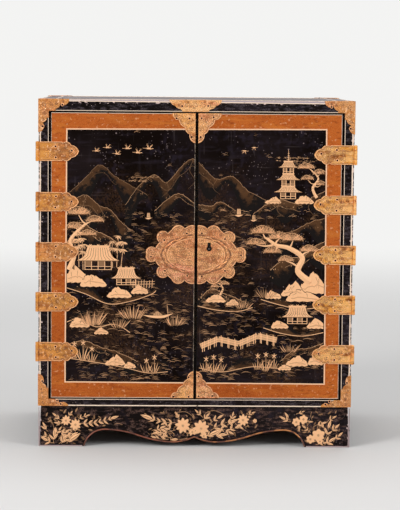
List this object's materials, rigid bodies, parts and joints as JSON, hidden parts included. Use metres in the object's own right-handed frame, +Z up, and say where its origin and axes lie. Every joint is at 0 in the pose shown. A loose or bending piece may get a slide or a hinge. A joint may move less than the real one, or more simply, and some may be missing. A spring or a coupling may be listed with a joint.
{
  "type": "two-door table cabinet on stand",
  "caption": "Two-door black lacquer table cabinet with gilt strap hinges, a lobed lock plate and drawers inside, on a low bracket-footed stand.",
  "frame": {"origin": "on the floor, under the centre of the cabinet's box", "axes": "+Z up, front with the doors towards -Y, +X to the right seen from the front"},
  "size_m": [0.469, 0.3052, 0.5113],
  "materials": {
    "black_lacquer": "polished black lacquer with gold decoration",
    "inner_lacquer": "black lacquer with sparse gold dust",
    "bare_wood": "planed softwood",
    "gilt_brass": "engraved and gilt sheet, worn",
    "lock_iron": "blackened iron"
  },
  "bodies": {
    "cabinet": {"carcass_back": "black_lacquer", "carcass_bottom": "black_lacquer", "carcass_left_side": "black_lacquer", "carcass_right_side": "black_lacquer", "carcass_top": "black_lacquer", "centre_partition": "inner_lacquer", "corner_mount_bottom_left": "gilt_brass", "corner_mount_bottom_right": "gilt_brass", "corner_mount_top_left": "gilt_brass", "corner_mount_top_right": "gilt_brass", "dust_boards": "inner_lacquer", "hinge_pins_left": "gilt_brass", "hinge_pins_right": "gilt_brass", "hinge_side_leaves_left": "gilt_brass", "hinge_side_leaves_right": "gilt_brass", "rear_corner_mounts": "gilt_brass", "stand_back_apron": "black_lacquer", "stand_deck": "bare_wood", "stand_front_apron": "black_lacquer", "stand_glue_blocks": "bare_wood", "stand_left_apron": "black_lacquer", "stand_right_apron": "black_lacquer", "top_centre_mount": "gilt_brass"},
    "left_door": {"door_left_corner_mounts": "gilt_brass", "door_left_panel": "black_lacquer", "hinge_strap_left_1": "gilt_brass", "hinge_strap_left_2": "gilt_brass", "hinge_strap_left_3": "gilt_brass", "hinge_strap_left_4": "gilt_brass", "hinge_strap_left_5": "gilt_brass", "lock_keeper": "lock_iron", "lock_plate_left": "gilt_brass"},
    "right_door": {"door_right_corner_mounts": "gilt_brass", "door_right_panel": "black_lacquer", "hinge_strap_right_1": "gilt_brass", "hinge_strap_right_2": "gilt_brass", "hinge_strap_right_3": "gilt_brass", "hinge_strap_right_4": "gilt_brass", "hinge_strap_right_5": "gilt_brass", "lock_case": "lock_iron", "lock_drill_pin": "lock_iron", "lock_plate_right": "gilt_brass"},
    "lock_bolt": {"lock_bolt": "lock_iron"},
    "left_drawer_1": {"drawer_left_1": "inner_lacquer", "drawer_knob_left_1": "gilt_brass"},
    "left_drawer_2": {"drawer_left_2": "inner_lacquer", "drawer_knob_left_2": "gilt_brass"},
    "left_drawer_3": {"drawer_left_3": "inner_lacquer", "drawer_knob_left_3": "gilt_brass"},
    "left_drawer_4": {"drawer_left_4": "inner_lacquer", "drawer_knob_left_4": "gilt_brass"},
    "right_drawer_1": {"drawer_right_1": "inner_lacquer", "drawer_knob_right_1": "gilt_brass"},
    "right_drawer_2": {"drawer_right_2": "inner_lacquer", "drawer_knob_right_2": "gilt_brass"},
    "right_drawer_3": {"drawer_right_3": "inner_lacquer", "drawer_knob_right_3": "gilt_brass"},
    "right_drawer_4": {"drawer_right_4": "inner_lacquer", "drawer_knob_right_4": "gilt_brass"}
  },
  "joints": [
    {"name": "left_door_hinge", "type": "hinge", "parent": "cabinet", "child": "left_door", "pos_m": [-0.232, -0.15015, 0.2855], "axis": [0, 0, -1], "range_deg": [0, 265]},
    {"name": "right_door_hinge", "type": "hinge", "parent": "cabinet", "child": "right_door", "pos_m": [0.232, -0.15015, 0.2855], "axis": [0, 0, 1], "range_deg": [0, 265]},
    {"name": "lock_bolt_slide", "type": "slide", "parent": "right_door", "child": "lock_bolt", "axis": [-1, 0, 0], "range_m": [0, 0.009]},
    {"name": "left_drawer_1_slide", "type": "slide", "parent": "cabinet", "child": "left_drawer_1", "axis": [0, -1, 0], "range_m": [0, 0.139]},
    {"name": "left_drawer_2_slide", "type": "slide", "parent": "cabinet", "child": "left_drawer_2", "axis": [0, -1, 0], "range_m": [0, 0.139]},
    {"name": "left_drawer_3_slide", "type": "slide", "parent": "cabinet", "child": "left_drawer_3", "axis": [0, -1, 0], "range_m": [0, 0.139]},
    {"name": "left_drawer_4_slide", "type": "slide", "parent": "cabinet", "child": "left_drawer_4", "axis": [0, -1, 0], "range_m": [0, 0.139]},
    {"name": "right_drawer_1_slide", "type": "slide", "parent": "cabinet", "child": "right_drawer_1", "axis": [0, -1, 0], "range_m": [0, 0.139]},
    {"name": "right_drawer_2_slide", "type": "slide", "parent": "cabinet", "child": "right_drawer_2", "axis": [0, -1, 0], "range_m": [0, 0.139]},
    {"name": "right_drawer_3_slide", "type": "slide", "parent": "cabinet", "child": "right_drawer_3", "axis": [0, -1, 0], "range_m": [0, 0.139]},
    {"name": "right_drawer_4_slide", "type": "slide", "parent": "cabinet", "child": "right_drawer_4", "axis": [0, -1, 0], "range_m": [0, 0.139]}
  ],
  "couplings": [
    {"joint": "left_drawer_1_slide", "follows": "left_door_hinge", "m_per_rad": 0.03},
    {"joint": "left_drawer_2_slide", "follows": "left_door_hinge", "m_per_rad": 0.03},
    {"joint": "left_drawer_3_slide", "follows": "left_door_hinge", "m_per_rad": 0.03},
    {"joint": "left_drawer_4_slide", "follows": "left_door_hinge", "m_per_rad": 0.03},
    {"joint": "right_drawer_1_slide", "follows": "right_door_hinge", "m_per_rad": 0.03},
    {"joint": "right_drawer_2_slide", "follows": "right_door_hinge", "m_per_rad": 0.03},
    {"joint": "right_drawer_3_slide", "follows": "right_door_hinge", "m_per_rad": 0.03},
    {"joint": "right_drawer_4_slide", "follows": "right_door_hinge", "m_per_rad": 0.03}
  ]
}
